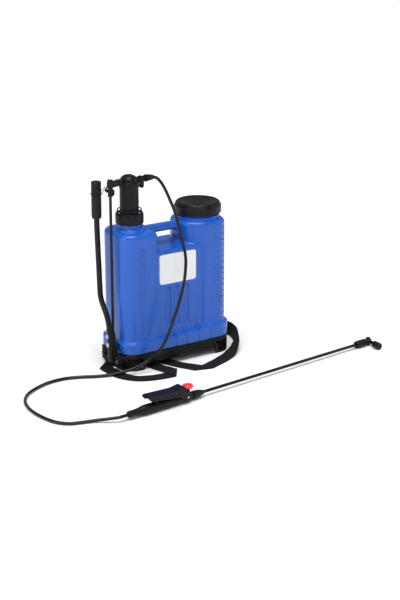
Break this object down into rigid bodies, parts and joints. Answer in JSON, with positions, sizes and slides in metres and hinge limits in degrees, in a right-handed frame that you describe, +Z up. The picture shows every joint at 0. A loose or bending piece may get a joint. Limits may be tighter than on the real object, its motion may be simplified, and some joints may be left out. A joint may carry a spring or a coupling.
{
  "type": "backpack sprayer",
  "caption": "Lever-operated backpack sprayer: blue twin-tower tank on a black base, piston pump with hose and spray wand, screw filler cap and shoulder webbing.",
  "frame": {"origin": "on the floor under the middle of the base, at the underside of the base's middle foot", "axes": "+X along the tank's width towards the filler cap, -Y out of the label side, +Y towards the wearer's back, +Z up"},
  "size_m": [1.173, 0.5155, 0.5971],
  "materials": {
    "tank_blue": "semi-gloss blown polyethylene, faintly streaked",
    "black_plastic": "semi-matt moulded black",
    "grip_black": "matt black grip plastic",
    "painted_black": "black powder coat",
    "bright_steel": "zinc-plated steel",
    "seal_rubber": "matt black rubber",
    "hose_rubber": "smooth glossy black hose",
    "webbing": "woven black polypropylene webbing",
    "red_plastic": "glossy red",
    "label_film": "plain printed film, blank",
    "natural_plastic": "natural translucent moulding"
  },
  "bodies": {
    "sprayer": {"base": "black_plastic", "tank": "tank_blue", "front_label": "label_film", "shaft_bush_outer": "natural_plastic", "shaft_bush_inner": "natural_plastic", "pump_barrel": "natural_plastic", "barrel_gasket": "seal_rubber", "guide_ring": "natural_plastic", "collar_nut": "black_plastic", "foot_valve": "black_plastic", "hose": "hose_rubber", "handle_hose_nut": "black_plastic", "valve_body": "black_plastic", "grip_filter": "natural_plastic", "trigger_pin": "bright_steel", "valve_spring": "bright_steel", "lance_nut": "black_plastic", "lance_tube": "painted_black", "nozzle_nut": "black_plastic", "strap_left": "webbing", "strap_right": "webbing", "strap_stud_left": "black_plastic", "strap_stud_right": "black_plastic", "strap_anchor": "black_plastic"},
    "lever": {"crank_shaft": "bright_steel", "crank_nut": "bright_steel", "shaft_clip": "bright_steel", "crank_arm": "bright_steel", "crank_pin": "bright_steel", "pin_clip": "bright_steel", "lever_tube": "painted_black", "lever_grip": "grip_black", "lever_bolt_low": "bright_steel", "lever_bolt_high": "bright_steel"},
    "keeper": {"lever_keeper": "bright_steel"},
    "pump": {"air_chamber": "black_plastic", "chamber_head": "black_plastic", "head_gasket": "seal_rubber", "piston_rod": "natural_plastic", "piston_cup": "seal_rubber", "piston_nut": "natural_plastic", "cross_arm": "black_plastic", "arm_screw": "bright_steel", "outlet_elbow": "black_plastic", "hose_nut": "black_plastic", "hose_relief": "seal_rubber", "connecting_rod": "painted_black", "rod_clip": "black_plastic"},
    "cap_carrier": {"cap_gasket": "seal_rubber"},
    "cap": {"filler_cap": "black_plastic", "vent_valve": "seal_rubber"},
    "strainer": {"strainer_basket": "natural_plastic"},
    "foot_ball": {"valve_ball": "bright_steel"},
    "trigger": {"trigger_lever": "black_plastic"},
    "valve_stem": {"valve_stem": "natural_plastic"},
    "lock_knob": {"lock_knob": "red_plastic"},
    "nozzle": {"nozzle_elbow": "black_plastic", "nozzle_body": "black_plastic", "swirl_disc": "natural_plastic"},
    "nozzle_cap": {"nozzle_cap": "black_plastic"}
  },
  "joints": [
    {"name": "pump_lever", "type": "hinge", "parent": "sprayer", "child": "lever", "pos_m": [-0.2235, -0.064, 0.039], "axis": [-1, 0, 0], "range_deg": [0, 70]},
    {"name": "lever_keeper_lift", "type": "hinge", "parent": "lever", "child": "keeper", "pos_m": [-0.2235, 0.0273, 0.544], "axis": [-0.9637, -0.2669, 0], "range_deg": [0, 14]},
    {"name": "pump_stroke", "type": "slide", "parent": "sprayer", "child": "pump", "axis": [0, 0, -1], "range_m": [0, 0.0517], "deforming": ["hose"]},
    {"name": "cap_lift", "type": "slide", "parent": "sprayer", "child": "cap_carrier", "axis": [0, 0, 1], "range_m": [0, 0.2]},
    {"name": "cap_turn", "type": "hinge", "parent": "cap_carrier", "child": "cap", "pos_m": [0.12, 0, 0.4689], "axis": [0, 0, 1], "range_deg": [0, 540]},
    {"name": "strainer_lift", "type": "slide", "parent": "sprayer", "child": "strainer", "axis": [0, 0, 1], "range_m": [0, 0.12]},
    {"name": "foot_ball_lift", "type": "slide", "parent": "sprayer", "child": "foot_ball", "axis": [0, 0, 1], "range_m": [0, 0.004]},
    {"name": "trigger_squeeze", "type": "hinge", "parent": "sprayer", "child": "trigger", "pos_m": [-0.17128, -0.37344, 0.02145], "axis": [0.1078, -0.9942, 0], "range_deg": [0, 7.5], "stiffness_Nm_per_rad": 2, "springref_deg": -2.86},
    {"name": "valve_stem_slide", "type": "slide", "parent": "sprayer", "child": "valve_stem", "axis": [-0.0036, -0.0004, -1], "range_m": [0, 0.0025], "deforming": ["valve_spring"]},
    {"name": "lock_knob_turn", "type": "hinge", "parent": "sprayer", "child": "lock_knob", "pos_m": [-0.16026, -0.37224, 0.04341], "axis": [0.0036, 0.0004, 1], "range_deg": [0, 90]},
    {"name": "nozzle_swivel", "type": "hinge", "parent": "sprayer", "child": "nozzle", "pos_m": [0.58049, -0.29191, 0.01268], "axis": [-0.9942, -0.1078, 0.0037], "range_deg": [0, 180]},
    {"name": "nozzle_dial", "type": "hinge", "parent": "nozzle", "child": "nozzle_cap", "pos_m": [0.58049, -0.29191, 0.01268], "axis": [0, -1, 0], "range_deg": [0, 360]}
  ],
  "couplings": [
    {"joint": "pump_stroke", "follows": "pump_lever", "m_per_rad": 0.04225},
    {"joint": "strainer_lift", "follows": "cap_lift", "ratio": 0.6},
    {"joint": "valve_stem_slide", "follows": "trigger_squeeze", "m_per_rad": 0.015}
  ]
}
